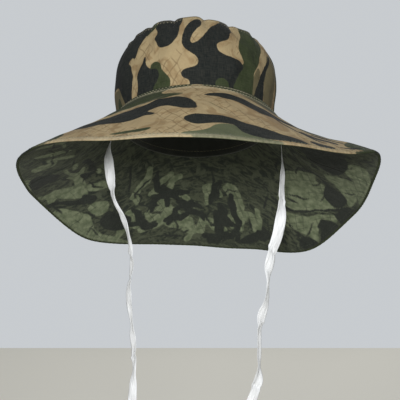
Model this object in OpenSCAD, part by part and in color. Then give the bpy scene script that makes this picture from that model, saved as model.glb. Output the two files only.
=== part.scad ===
// Wide-brim camouflage sun hat (boonie style) with two satin chin ties.
// Millimetres. The origin is the centre of the head opening, +Z is up as worn and the front faces -Y.
// Angles around the hat run from 0 at the front, through 90 at the wearer's left (+X), to 180 at the back.

/* [Head opening] */
// Half width of the opening, from ear to ear
opening_half_w = 81; // [76:1:88]
// Half depth of the opening, from forehead to nape
opening_half_d = 99; // [93:1:106]
// Angle by which the hat leans back on the head
lean = 19; // [10:1:22]

/* [Crown] */
// Height of the crown band along the crown's own axis
band_h = 82; // [72:1:92]
// Rise of the top panel above the seam around it
top_rise = 13; // [8:1:18]
// How far the band swells between its two seams, as a part of its half width
band_swell = 0.2; // [0.1:0.02:0.26]
// How far the band draws in at the top seam, as a part of its half width
band_draw_in = 0.148; // [0.1:0.004:0.18]

/* [Brim] */
// Size of the brim, where 1 is a brim about 128 wide
brim_size = 1; // [0.9:0.02:1.1]

/* [Cloth] */
// Thickness of the camouflage cloth
cloth_t = 0.6; // [0.5:0.05:0.7]
// Thickness of the stiffening between the brim's two cloths
stiffener_t = 0.6; // [0.4:0.05:0.7]
// Gap left between one layer and the next
layer_gap = 0.15; // [0.1:0.05:0.3]
// Height of the sweatband
sweatband_h = 34; // [28:1:38]
// Diameter of the sewing thread
thread_d = 0.5; // [0.4:0.1:0.6]

/* [Ties] */
// Width of the satin ribbon
ribbon_w = 12.7; // [9:0.1:14]
// Thickness of the satin ribbon
ribbon_t = 0.6; // [0.4:0.1:0.8]

/* [Hidden] */

// Cloth colours
camo_tan = [0.66, 0.58, 0.43];
camo_green = [0.30, 0.35, 0.22];
camo_olive = [0.42, 0.43, 0.30];
lining_green = [0.36, 0.41, 0.29];
band_black = [0.13, 0.14, 0.12];
stiffener_white = [0.85, 0.84, 0.80];
thread_sand = [0.72, 0.68, 0.55];
satin_white = [0.93, 0.94, 0.96];

// Steps of the cloth grids: all the way round, and across each kind of panel.
// Layers that lie on each other share one grid, so that their facets stay parallel.
turn_steps = 60;
brim_steps = 7;
band_steps = 6;
top_steps = 4;
sweatband_steps = 2;
// Angle left open at each side seam, between a front and a back panel
seam_angle = 0.15;
// Share of the brim's reach and of the band's height left open for the seam between them
seam_share = 0.012;

// Brim stations every 22.5 degrees, from the front to the back: how far it reaches out,
// how far it drops, and how early it drops (above 0 it falls first and then flares out).
brim_reach = [116, 115, 114, 113, 102, 100, 86, 79, 80];
brim_drop = [55, 57, 54, 51, 65, 78, 106, 104, 101];
brim_flare = [-0.3, -0.1, 0.6, 1.4, 1.2, 0.6, 0.3, 0.1, 0.1];
station_angle = 22.5;

// Layers of the brim, counted up from the middle of the stiffener
stiffener_half = stiffener_t / 2;
outer_cloth_low = stiffener_half + layer_gap;
outer_cloth_high = outer_cloth_low + cloth_t;
brim_cloth_end = 0.985;

// Layers of the crown, counted out from its middle sheet
crown_cloth_low = 0.2;
crown_cloth_high = crown_cloth_low + cloth_t;
lining_high = 0;
lining_low = lining_high - cloth_t;
sweatband_high = lining_low - 0.4;
sweatband_low = sweatband_high - 0.9;
sweatband_start = 0.03;
sweatband_end = sweatband_start + sweatband_h / band_h;

// Rows of stitching, in millimetres from the seam or edge that each follows
edge_row_inset = 6;
seam_row_insets = [3, 9];
top_row_inset = 3;
thread_clear = 0.15;
brim_thread_clear = 0.3;

// Where each tie's free ribbon starts below its sewn tab, and the hand-chosen points it hangs along
tab_drop = 2.8;
fold_gap = 0.4;
// Half width of each length where it comes to a point at the fold, and how far from the fold it is full width
fold_tip = 0.7;
fold_taper = 3.6;
tie_left_route = [[89, 0, -17], [90, 0, -30], [90.5, 0, -48], [90, -1, -66], [89.5, -2, -82],
    [89, -2, -98], [86, -2, -116], [81, -3, -132], [77, -3, -150], [76, -3, -168], [74, -3, -186],
    [69, -2, -202], [66, -2, -218], [66, -2, -236], [66, -2, -254], [65, -2, -270], [61, -2, -284],
    [56, -2, -298], [51, -2, -312], [48, -2, -328], [47, -2, -344], [46, -2, -360], [46, -2, -378]];
tie_right_route = [[-89, 0, -17], [-91.5, 0, -28], [-91.5, 0, -42], [-89.5, -1, -60], [-86.5, -2, -80],
    [-78.5, -2, -96], [-72.5, -2, -112], [-69, -3, -130], [-67, -3, -150], [-70, -3, -168],
    [-70, -3, -186], [-67.5, -2, -204], [-66.5, -2, -222], [-65, -2, -240], [-65, -2, -256],
    [-66.5, -2, -272], [-67, -2, -288], [-67, -2, -304], [-66.5, -2, -320], [-66, -2, -336],
    [-66, -2, -352], [-66, -2, -366], [-66, -2, -378]];
// Turn of the ribbon's width about the vertical at each point: 90 is edge-on from the front, 0 face-on
tie_left_turn = [88, 85, 73, 62, 53, 32, 22, 36, 45, 74, 64, 42, 68, 71, 73, 38, 36, 30, 22,
    20, 26, 34, 40];
tie_right_turn = [-90, -66, -32, -46, -70, -66, -68, -71, -74, -72, -62, -71, -62, -67, -68,
    -58, -44, -40, -34, -30, -34, -40, -44];
fold_point = 8;

// A value between stations that follow one another evenly and mirror at both ends, by a smooth cubic
function mirrored(v, i) = let(last = len(v) - 1) v[i < 0 ? -i : (i > last ? 2 * last - i : i)];
function between(v, x) =
    let(i = min(floor(x), len(v) - 2), u = x - i,
        a = mirrored(v, i - 1), b = v[i], c = v[i + 1], d = mirrored(v, i + 2))
    b + u * (c - a) / 2 + u * u * (2 * a - 5 * b + 4 * c - d) / 2 + pow(u, 3) * (3 * b - a - 3 * c + d) / 2;
function at_angle(v, a) = between(v, (abs(a) > 180 ? 360 - abs(a) : abs(a)) / station_angle);

function unit(v) = v / norm(v);
// Turns a point of the crown's own upright frame to the hat's lean on the head
function leaned(p) = [p[0], p[1] * cos(lean) + p[2] * sin(lean), p[2] * cos(lean) - p[1] * sin(lean)];
hat_axis = leaned([0, 0, 1]);

// Middle sheets of the crown band, the top panel and the brim, by angle and a share from 0 to 1
function oval(a, share, h) = leaned([opening_half_w * share * sin(a), -opening_half_d * share * cos(a), h]);
function band_share(v) = 1 + band_swell * v * (1 - v) - band_draw_in * pow(v, 3);
band_at = function(a, v) oval(a, band_share(v), band_h * v);
top_at = function(a, v) oval(a, band_share(1) * (1 - v), band_h + top_rise * (1 - pow(1 - v, 2)));
function out_dir(a) = unit([sin(a) / opening_half_w, -cos(a) / opening_half_d, 0]);
brim_at = function(a, t)
    let(reach = brim_size * at_angle(brim_reach, a), drop = brim_size * at_angle(brim_drop, a),
        fall = t + at_angle(brim_flare, a) * t * pow(1 - t, 2))
    oval(a, 1, 0) + reach * t * out_dir(a) - [0, 0, drop * fall];

// A point lifted off a sheet, on the side that faces out when steps go from s0 towards s1
function lifted(sheet, a, s, way, lift) =
    let(da = 0.5, ds = 0.005 * way, across = sheet(a + da, s) - sheet(a - da, s))
    sheet(a, s) + lift * unit(cross(across, sheet(a, s + ds) - sheet(a, s - ds)));

// The flat-faceted form of a sheet, as a panel with so many steps from s0 to s1 has it
function faceted(sheet, s0, s1, across) = function(a, s)
    let(x = (s - s0) / (s1 - s0) * across, j = max(0, min(floor(x), across - 1)), u = x - j,
        step = (s1 - s0) / across)
    sheet(a, s0 + step * j) * (1 - u) + sheet(a, s0 + step * (j + 1)) * u;

// A closed cloth panel between two lifts off one sheet, over a range of angles and of shares.
// A panel that goes all the way round joins up, and one with a pole closes to a point at s1.
module panel(sheet, a0, a1, s0, s1, low, high, across, pole = false) {
    whole = abs(a1 - a0) >= 360;
    around = max(2, round(turn_steps * (a1 - a0) / 360));
    columns = whole ? around : around + 1;
    rows = pole ? across : across + 1;
    way = s1 > s0 ? 1 : -1;
    function grid(lift) = [for (i = [0:columns - 1], j = [0:rows - 1])
        lifted(sheet, a0 + (a1 - a0) * i / around, s0 + (s1 - s0) * j / across, way, lift)];
    middle = sheet(0, s1);
    poles = pole ? [middle + high * hat_axis, middle + low * hat_axis] : [];
    count = columns * rows;
    function outer(i, j) = (i % columns) * rows + j;
    function inner(i, j) = count + outer(i, j);
    skins = [for (i = [0:around - 1], j = [0:rows - 2]) each [
        [outer(i, j), outer(i, j + 1), outer(i + 1, j + 1)],
        [outer(i, j), outer(i + 1, j + 1), outer(i + 1, j)],
        [inner(i, j), inner(i + 1, j + 1), inner(i, j + 1)],
        [inner(i, j), inner(i + 1, j), inner(i + 1, j + 1)]]];
    first_rim = [for (i = [0:around - 1]) each [
        [outer(i, 0), outer(i + 1, 0), inner(i + 1, 0)], [outer(i, 0), inner(i + 1, 0), inner(i, 0)]]];
    end = rows - 1;
    last_rim = [for (i = [0:around - 1]) each pole
        ? [[outer(i, end), 2 * count, outer(i + 1, end)],
           [inner(i, end), inner(i + 1, end), 2 * count + 1]]
        : [[outer(i + 1, end), outer(i, end), inner(i, end)],
           [outer(i + 1, end), inner(i, end), inner(i + 1, end)]]];
    side_rims = whole ? [] : [for (j = [0:rows - 2]) each [
        [outer(0, j + 1), outer(0, j), inner(0, j)], [outer(0, j + 1), inner(0, j), inner(0, j + 1)],
        [outer(around, j), outer(around, j + 1), inner(around, j + 1)],
        [outer(around, j), inner(around, j + 1), inner(around, j)]]];
    polyhedron(points = concat(grid(high), grid(low), poles),
        faces = concat(skins, first_rim, last_rim, side_rims), convexity = 10);
}

// A tube swept through rings of points that all have the same count, closed in a loop or with flat ends.
// The far half of each ring is split along the same diagonals as the near half, so a thin twisted
// ribbon keeps its thickness.
module swept(rings, loop) {
    sides = len(rings[0]);
    last = len(rings) - 1;
    function spot(i, k) = (i % len(rings)) * sides + (k % sides);
    walls = [for (i = [0:loop ? last : last - 1], k = [0:sides - 1]) each k < sides / 2
        ? [[spot(i, k), spot(i + 1, k), spot(i + 1, k + 1)],
           [spot(i, k), spot(i + 1, k + 1), spot(i, k + 1)]]
        : [[spot(i, k), spot(i + 1, k), spot(i, k + 1)],
           [spot(i + 1, k), spot(i + 1, k + 1), spot(i, k + 1)]]];
    near_end = [for (k = [0:sides - 1]) spot(0, k)];
    far_end = [for (k = [sides - 1:-1:0]) spot(last, k)];
    ends = loop ? [] : [near_end, far_end];
    polyhedron(points = [for (ring = rings) each ring], faces = concat(walls, ends), convexity = 10);
}

// A cord of oval section that runs round the hat on a sheet, at a share given for each angle
module round_cord(sheet, share_at, way, lift, half_w, half_t, sides) {
    swept([for (i = [0:turn_steps - 1])
        let(a = -360 * i / turn_steps, s = share_at(a),
            along = unit(sheet(a, s + 0.01) - sheet(a, s - 0.01)),
            up = unit(lifted(sheet, a, s, way, 1) - sheet(a, s)),
            middle = sheet(a, s) + lift * up)
        [for (k = [0:sides - 1]) middle + half_w * cos(360 * k / sides) * along * way
            + half_t * sin(360 * k / sides) * up]], true);
}

module thread_row(sheet, share_at, way, lift) {
    round_cord(sheet, share_at, way, lift, thread_d / 2, thread_d / 2, 4);
}

// The share at which a row lies when it keeps a number of millimetres from the brim's edge or seam
function brim_inset(a, mm) = mm / norm([at_angle(brim_reach, a), at_angle(brim_drop, a)]) / brim_size;

// A flat ribbon with rounded edges along a route, turned about the vertical by an angle at each point
function ribbon_ring(p, dir, turn, w) =
    let(wide = unit([cos(turn), sin(turn), 0] - dir * (dir * [cos(turn), sin(turn), 0])),
        thin = cross(dir, wide), t = ribbon_t / 2, bevel = 0.5)
    [for (q = [[w, t / 2], [w - bevel, t], [bevel - w, t], [-w, t / 2],
               [-w, -t / 2], [bevel - w, -t], [w - bevel, -t], [w, -t / 2]]) p + q[0] * wide + q[1] * thin];

module ribbon(route, turns, first, last) {
    full = ribbon_w / 2;
    function ring(i, shift, half) =
        let(back = route[max(i - 1, 0)], next = route[min(i + 1, len(route) - 1)], dir = unit(next - back))
        ribbon_ring(route[i] + shift * dir, dir, turns[i], half);
    top_end = first == 0 ? [ring(first, fold_gap, full)]
        : [ring(first, fold_gap, fold_tip), ring(first, fold_taper, full)];
    low_end = last == len(route) - 1 ? [ring(last, 0, full)]
        : [ring(last, -fold_taper, full), ring(last, -fold_gap, fold_tip)];
    swept(concat(top_end, [for (i = [first + 1:last - 1]) ring(i, 0, full)], low_end), false);
}

// A short folded loop of ribbon, sewn flat under the brim, that the free ribbon hangs from
module tie_tab(route) {
    start = route[0];
    translate(start + [0, 0, tab_drop / 2])
        cube([ribbon_t * 2, ribbon_w, tab_drop], center = true);
}

module front_half(sheet, s0, s1, low, high, across)
    panel(sheet, seam_angle - 90, 90 - seam_angle, s0, s1, low, high, across);

module back_half(sheet, s0, s1, low, high, across)
    panel(sheet, 90 + seam_angle, 270 - seam_angle, s0, s1, low, high, across);

// Crown
module crown_top() color(camo_tan)
    panel(top_at, 0, 360, seam_share, 1, crown_cloth_low, crown_cloth_high, top_steps, pole = true);

module crown_band_front() color(camo_tan)
    front_half(band_at, seam_share, 1 - seam_share, crown_cloth_low, crown_cloth_high, band_steps);

module crown_band_back() color(camo_olive)
    back_half(band_at, seam_share, 1 - seam_share, crown_cloth_low, crown_cloth_high, band_steps);

module lining_top() color(lining_green)
    panel(top_at, 0, 360, seam_share, 1, lining_low, lining_high, top_steps, pole = true);

module lining_band_front() color(lining_green)
    front_half(band_at, seam_share, 1 - seam_share, lining_low, lining_high, band_steps);

module lining_band_back() color(lining_green)
    back_half(band_at, seam_share, 1 - seam_share, lining_low, lining_high, band_steps);

module sweatband() color(band_black)
    panel(band_at, 0, 360, sweatband_start, sweatband_end, sweatband_low, sweatband_high, sweatband_steps);

// Brim: two cloths with a stiffener between them, and a folded binding round the edge
module brim_top_front() color(camo_tan)
    front_half(brim_at, brim_cloth_end, seam_share, outer_cloth_low, outer_cloth_high, brim_steps);

module brim_top_back() color(camo_olive)
    back_half(brim_at, brim_cloth_end, seam_share, outer_cloth_low, outer_cloth_high, brim_steps);

module brim_stiffener() color(stiffener_white)
    panel(brim_at, 0, 360, brim_cloth_end, seam_share, -stiffener_half, stiffener_half, brim_steps);

module brim_under_front() color(lining_green)
    front_half(brim_at, brim_cloth_end, seam_share, -outer_cloth_high, -outer_cloth_low, brim_steps);

module brim_under_back() color(lining_green)
    back_half(brim_at, brim_cloth_end, seam_share, -outer_cloth_high, -outer_cloth_low, brim_steps);

module brim_edge_binding() color(camo_green)
    round_cord(brim_at, function(a) 1, -1, 0, 1.6, outer_cloth_high + 0.2, 6);

// Stitching: each row is a thread that lies on the cloth's facets
brim_facets = faceted(brim_at, brim_cloth_end, seam_share, brim_steps);
band_facets = faceted(band_at, seam_share, 1 - seam_share, band_steps);
top_facets = faceted(top_at, seam_share, 1, top_steps);
sweatband_facets = faceted(band_at, sweatband_start, sweatband_end, sweatband_steps);
crown_thread_lift = crown_cloth_high + thread_clear + thread_d / 2;
brim_thread_lift = outer_cloth_high + brim_thread_clear + thread_d / 2;

module stitching_crown_top() color(thread_sand) {
    thread_row(top_facets, function(a) top_row_inset / opening_half_w, 1, crown_thread_lift);
    thread_row(band_facets, function(a) 1 - top_row_inset / band_h, 1, crown_thread_lift);
}

module stitching_brim_seam() color(thread_sand)
    for (inset = seam_row_insets)
        thread_row(brim_facets, function(a) brim_inset(a, inset), -1, brim_thread_lift);

module stitching_brim_edge() color(thread_sand)
    for (side = [-1, 1])
        thread_row(brim_facets, function(a) 1 - brim_inset(a, edge_row_inset), -1, side * brim_thread_lift);

module stitching_sweatband() color(thread_sand)
    thread_row(sweatband_facets, function(a) sweatband_start + 3 / band_h, 1,
        sweatband_low - thread_clear - thread_d / 2);

// Chin ties
module tie_tab_left() color(satin_white) tie_tab(tie_left_route);

module tie_tab_right() color(satin_white) tie_tab(tie_right_route);

module tie_left_upper() color(satin_white) ribbon(tie_left_route, tie_left_turn, 0, fold_point);

module tie_left_lower() color(satin_white)
    ribbon(tie_left_route, tie_left_turn, fold_point, len(tie_left_route) - 1);

module tie_right_upper() color(satin_white) ribbon(tie_right_route, tie_right_turn, 0, fold_point);

module tie_right_lower() color(satin_white)
    ribbon(tie_right_route, tie_right_turn, fold_point, len(tie_right_route) - 1);

crown_top();
crown_band_front();
crown_band_back();
lining_top();
lining_band_front();
lining_band_back();
sweatband();
brim_top_front();
brim_top_back();
brim_stiffener();
brim_under_front();
brim_under_back();
brim_edge_binding();
stitching_crown_top();
stitching_brim_seam();
stitching_brim_edge();
stitching_sweatband();
tie_tab_left();
tie_tab_right();
tie_left_upper();
tie_left_lower();
tie_right_upper();
tie_right_lower();
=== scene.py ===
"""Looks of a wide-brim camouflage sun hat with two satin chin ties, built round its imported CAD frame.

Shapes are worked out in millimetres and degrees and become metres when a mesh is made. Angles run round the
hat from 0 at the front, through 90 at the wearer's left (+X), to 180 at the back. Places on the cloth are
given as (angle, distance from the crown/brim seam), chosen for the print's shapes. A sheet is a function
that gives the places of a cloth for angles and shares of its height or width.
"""

import math

import bpy
import numpy as np
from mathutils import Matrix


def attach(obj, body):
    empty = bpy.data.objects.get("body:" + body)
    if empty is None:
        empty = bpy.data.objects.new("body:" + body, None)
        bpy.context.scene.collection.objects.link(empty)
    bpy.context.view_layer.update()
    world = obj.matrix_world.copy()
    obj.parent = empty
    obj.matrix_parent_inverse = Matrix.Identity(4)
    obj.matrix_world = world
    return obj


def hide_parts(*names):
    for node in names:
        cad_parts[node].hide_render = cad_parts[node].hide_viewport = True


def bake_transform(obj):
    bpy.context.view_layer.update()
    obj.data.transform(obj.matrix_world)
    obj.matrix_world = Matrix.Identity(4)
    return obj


MM = 0.001
rng = np.random.default_rng(20)

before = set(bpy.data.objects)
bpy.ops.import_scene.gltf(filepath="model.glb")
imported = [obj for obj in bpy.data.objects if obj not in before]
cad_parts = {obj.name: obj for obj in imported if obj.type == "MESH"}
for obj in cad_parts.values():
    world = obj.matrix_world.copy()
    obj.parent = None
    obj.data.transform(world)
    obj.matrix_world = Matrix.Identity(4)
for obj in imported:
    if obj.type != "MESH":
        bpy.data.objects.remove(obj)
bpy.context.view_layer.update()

# ---------------------------------------------------------------- shape of the hat
HALF_W, HALF_D = 81.0, 99.0
MEAN_R = 90.0
LEAN = math.radians(19)
BAND_H, TOP_RISE = 82.0, 13.0
# Shares of the oval: the band's bulge half way up and how far it draws in at its tip
SWELL, DRAW_IN = 0.2, 0.148
# How far the crown's tip stands over to the wearer's right
TIP_SHIFT = 1.8
BRIM_W = 128.0
# Rows of stitches: on the brim from the seam out, and on the crown band from the seam up
SEAM_ROWS, EDGE_ROW, TIP_ROW = (3, 9), 122, 79

# Brim stations every 22.5 degrees, from the back round by the wearer's right, the front and the wearer's left
REACH = [80, 77, 86, 96, 98, 110, 113, 114, 116, 115, 114, 115, 104, 104, 92, 80]
DROP = [101, 101, 101, 76, 66, 54, 50, 54, 55, 59, 58, 48, 64, 83, 114, 107]
FLARE = [0.1, 0.1, 0.3, 0.6, 1.1, 1.2, 0.5, -0.1, -0.3, -0.1, 0.7, 1.6, 1.3, 0.6, 0.3, 0.1]
TOP_DIP = [0, 0, 0, 0, -1, -2, -2, -1.5, -1, -3.5, -4.5, -3, -2, -1, 0, 0]
# Puckers between the brim's edge and its last stitches: cycles round the hat, phase, height
EDGE_PUCKERS = [(230, 0, 1), (171, 60, 0.7)]
# Puckers of the seam at the crown's tip: angle, depth and half width in degrees
TIP_PUCKERS = [(-64, 0.9, 3), (-39, 1.3, 3), (-17, 1.3, 2.5), (8, 1.6, 3), (31, 1.6, 2.5), (57, 1.1, 3),
               (83, 1.2, 4), (109, 1.0, 3), (131, 1.3, 3), (158, 0.9, 4), (-172, 1.2, 3), (-146, 1.1, 4),
               (-118, 1.4, 3), (-92, 1.0, 3)]


def around(values, angle):
    """A value between stations that follow one another evenly round the hat, by a smooth cubic."""
    v = np.asarray(values, float)
    n = len(v)
    x = (np.asarray(angle, float) + 180) / (360 / n) % n
    i = np.floor(x).astype(int) % n
    u = x - np.floor(x)
    a, b, c, d = v[(i - 1) % n], v[i], v[(i + 1) % n], v[(i + 2) % n]
    return b + u * (c - a) / 2 + u * u * (2 * a - 5 * b + 4 * c - d) / 2 + u ** 3 * (3 * b - a - 3 * c + d) / 2


def leaned(x, y, z):
    return np.stack([x, y * math.cos(LEAN) + z * math.sin(LEAN), z * math.cos(LEAN) - y * math.sin(LEAN)], -1)


def oval(angle, share, height):
    a = np.radians(angle)
    return leaned(HALF_W * share * np.sin(a), -HALF_D * share * np.cos(a), height + 0 * a)


def hump(x, middle, half_width):
    return np.exp(-(((x - middle) / half_width) ** 2))


def turned(angle):
    """The angle brought into -180 to 180."""
    return (np.asarray(angle, float) + 180) % 360 - 180


def waves(angle, terms):
    """A sum of (cycles round the hat, phase in degrees, height) sines."""
    return sum(h * np.sin(np.radians(n * angle + p)) for n, p, h in terms)


def smooth(x):
    x = np.clip(x, 0, 1)
    return x * x * (3 - 2 * x)


def tip_pucker(angle):
    return sum(d * hump(turned(angle - a), 0, w) for a, d, w in TIP_PUCKERS)


def crown_wave(angle, v):
    """How far the crown's cloth stands off its plain shape.

    Folds run down from the tip, low dents and slanting ones cross them, the wearer's left side stands straighter,
    and the cloth is tucked in at each pucker of the tip's seam."""
    folds = waves(angle, [(9, 40, 0.8), (14, 130, 0.7), (23, 10, 0.45)]) * smooth((v - 0.35) / 0.6)
    low = waves(angle, [(5, 80, 0.9), (8, 200, 0.6), (17, 60, 0.45)]) * (4 * v * (1 - v))
    slant = 0.45 * np.sin(np.radians(13 * angle + 520 * v)) + 0.35 * np.sin(np.radians(21 * angle - 700 * v + 50))
    straighter = hump(turned(angle - 88), 0, 30) * (2.6 * hump(v, 0.72, 0.22) - 2.2 * hump(v, 0.2, 0.2))
    straighter = straighter + 2.2 * hump(turned(angle - 66), 0, 24) * hump(v, 0.92, 0.16)
    tucked = -0.9 * tip_pucker(angle) * smooth((v - 0.75) / 0.25)
    return folds + low + slant * np.sin(np.pi * np.clip(v, 0, 1)) + straighter + tucked


def band_at(angle, v):
    share = 1 + SWELL * v * (1 - v) - DRAW_IN * np.clip(v, 0, 1) ** 3
    height = BAND_H * v + around(TOP_DIP, angle) * v ** 2 - tip_pucker(angle) * np.clip(v, 0, 1) ** 6
    p = oval(angle, share + crown_wave(angle, v) / MEAN_R, height)
    p[..., 0] -= TIP_SHIFT * v
    return p


def top_at(angle, s):
    """The top panel, from the tip seam (0) to its middle (1)."""
    rim = band_at(angle, 1 + 0 * s)
    a = np.radians(angle)
    flat = (1 - DRAW_IN) * (1 - s)
    dip = around(TOP_DIP, angle) - tip_pucker(angle)
    sag = 0.8 * np.sin(3 * a + 1) * s * (1 - s) + 0.5 * np.sin(5 * a - 6 * s) * s * (1 - s)
    height = BAND_H + TOP_RISE * (1 - (1 - s) ** 2) + dip * (1 - s) ** 3 + sag
    p = oval(angle, flat + (1 - s) ** 4 * crown_wave(angle, 1.0) / MEAN_R, height)
    p[..., 0] -= TIP_SHIFT
    inner = smooth(s / 0.06)[..., None]
    return p * inner + rim * (1 - inner)


def brim_wave(angle, d):
    """How far the brim's cloth is lifted: slow waves, fine crumples, puckers beside its stitches."""
    t = d / BRIM_W
    slow = waves(angle, [(6, 20, 0.6), (11, 150, 0.5), (19, 300, 0.3)]) * smooth(t) * smooth((1.15 - t) * 4)
    crumple = 0.3 * np.sin(np.radians(27 * angle) + d / 9) + 0.2 * np.sin(np.radians(40 * angle + 90) - d / 6)
    pucker = 0.22 * waves(angle, EDGE_PUCKERS) * hump(d, 125, 3.0)
    seam = 0.12 * waves(angle, [(150, 0, 1), (97, 60, 0.8)]) * hump(d, 6, 4)
    return slow + crumple * smooth((d - 12) / 30) * smooth((124 - d) / 16) + pucker + seam


def brim_base(angle, t):
    a = np.radians(angle)
    out = np.stack([np.sin(a) / HALF_W, -np.cos(a) / HALF_D], -1)
    out /= np.linalg.norm(out, axis=-1)[..., None]
    reach, drop, flare = (around(v, angle) for v in (REACH, DROP, FLARE))
    p = oval(angle, 1.0, 0 * t)
    p[..., :2] += (reach * t)[..., None] * out
    p[..., 2] -= drop * (t + flare * t * (1 - t) ** 2)
    return p


def brim_at(angle, t):
    p = brim_base(angle, t)
    p[..., 2] += brim_wave(angle, BRIM_W * t) * 0.9
    return p


def up_from(sheet, angle, s, way):
    """Unit normals of a sheet, on its outer side: way is 1 on the crown, and -1 on the brim, which runs outward."""
    da, ds = 0.25, 0.002
    across = sheet(angle + da, s) - sheet(angle - da, s)
    along = (sheet(angle, s + ds) - sheet(angle, s - ds)) * way
    n = np.cross(across, along)
    return n / np.maximum(np.linalg.norm(n, axis=-1), 1e-9)[..., None]


# ---------------------------------------------------------------- cloth coordinates and the print
# Radius of the brim's inner edge as it was cut flat, and the crown band's cloth for each degree
CUT_R, BAND_STEP = 88, 1.6
# Half width and half depth of the top panel as it was cut
TOP_W, TOP_D = 72, 86
# A place's depth in a colour of the print, where it is far outside it
NO_INK = -9.0


def brim_flat(angle, d):
    """Millimetres on the brim's cloth before it was sewn: a ring cut flat."""
    a = np.radians(angle)
    return np.stack([(CUT_R + d) * np.sin(a), -(CUT_R + d) * np.cos(a)], -1)


def band_flat(angle, h):
    return np.stack([turned(angle) * BAND_STEP, h * np.ones_like(angle)], -1)


def rounded(points, times=2):
    """A closed outline with its corners cut, so that it runs smoothly."""
    p = np.asarray(points, float)
    for _ in range(times):
        q = np.roll(p, -1, axis=0)
        p = np.stack([0.75 * p + 0.25 * q, 0.25 * p + 0.75 * q], 1).reshape(-1, 2)
    return p


def segment_distance(xy, a, b):
    ab = b - a
    t = np.clip(((xy - a) @ ab) / max(ab @ ab, 1e-9), 0, 1)
    return np.linalg.norm(xy - (a + t[..., None] * ab), axis=-1), t


def inside_outline(xy, outline):
    """Millimetres inside a closed outline, negative outside; far away it is only roughly right."""
    field = np.full(xy.shape[:-1], NO_INK)
    low, high = outline.min(0) - 4, outline.max(0) + 4
    near = np.all((xy > low) & (xy < high), axis=-1)
    q = xy[near]
    best = np.full(len(q), 1e9)
    inside = np.zeros(len(q), bool)
    for a, b in zip(outline, np.roll(outline, -1, axis=0)):
        best = np.minimum(best, segment_distance(q, a, b)[0])
        crosses = (a[1] > q[:, 1]) != (b[1] > q[:, 1])
        x = a[0] + (q[:, 1] - a[1]) * (b[0] - a[0]) / (b[1] - a[1] + 1e-12)
        inside ^= crosses & (q[:, 0] < x)
    field[near] = np.where(inside, best, -best)
    return field


def inside_stroke(xy, points, radii):
    """Millimetres inside a rounded brush stroke along points, whose half width changes from one to the next."""
    field = np.full(xy.shape[:-1], NO_INK)
    points = np.asarray(points, float)
    reach = max(radii) + 4
    near = np.all((xy > points.min(0) - reach) & (xy < points.max(0) + reach), axis=-1)
    q = xy[near]
    best = np.full(len(q), NO_INK)
    for a, b, r0, r1 in zip(points[:-1], points[1:], radii[:-1], radii[1:]):
        d, t = segment_distance(q, a, b)
        best = np.maximum(best, r0 + (r1 - r0) * t - d)
    field[near] = best
    return field


def wandering(start, heading, steps, step, bend, radius, spread=0.4):
    """A random stroke: its points and half widths."""
    points, radii = [np.asarray(start, float)], [radius * 0.7]
    for _ in range(steps):
        heading += rng.normal(0, bend)
        points.append(points[-1] + step * rng.uniform(0.7, 1.3) * np.array([math.cos(heading), math.sin(heading)]))
        radii.append(radius * rng.uniform(1 - spread, 1 + spread))
    radii[-1] *= 0.6
    return points, radii


def print_field(xy, flat, outlines, lines, strokes):
    """One colour of the print: outlines and lines placed in (angle, mm), random strokes in cloth millimetres."""
    field = np.full(xy.shape[:-1], NO_INK)
    for outline in outlines:
        p = rounded(outline)
        field = np.maximum(field, inside_outline(xy, flat(p[:, 0], p[:, 1])))
    for points, radii in lines:
        p = np.asarray(points, float)
        field = np.maximum(field, inside_stroke(xy, flat(p[:, 0], p[:, 1]), radii))
    for points, radii in strokes:
        field = np.maximum(field, inside_stroke(xy, points, radii))
    return field


def scattered(count, place, clear, bend=0.6, step=12, radius=8, steps=(3, 6)):
    """Random strokes whose points all keep to where clear says."""
    found, tries = [], 0
    while len(found) < count and tries < count * 30:
        tries += 1
        heading = rng.uniform(0, 2 * math.pi)
        points, radii = wandering(place(), heading, int(rng.integers(*steps)), step, bend, radius)
        if all(clear(*p) for p in points):
            found.append((points, radii))
    return found


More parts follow.
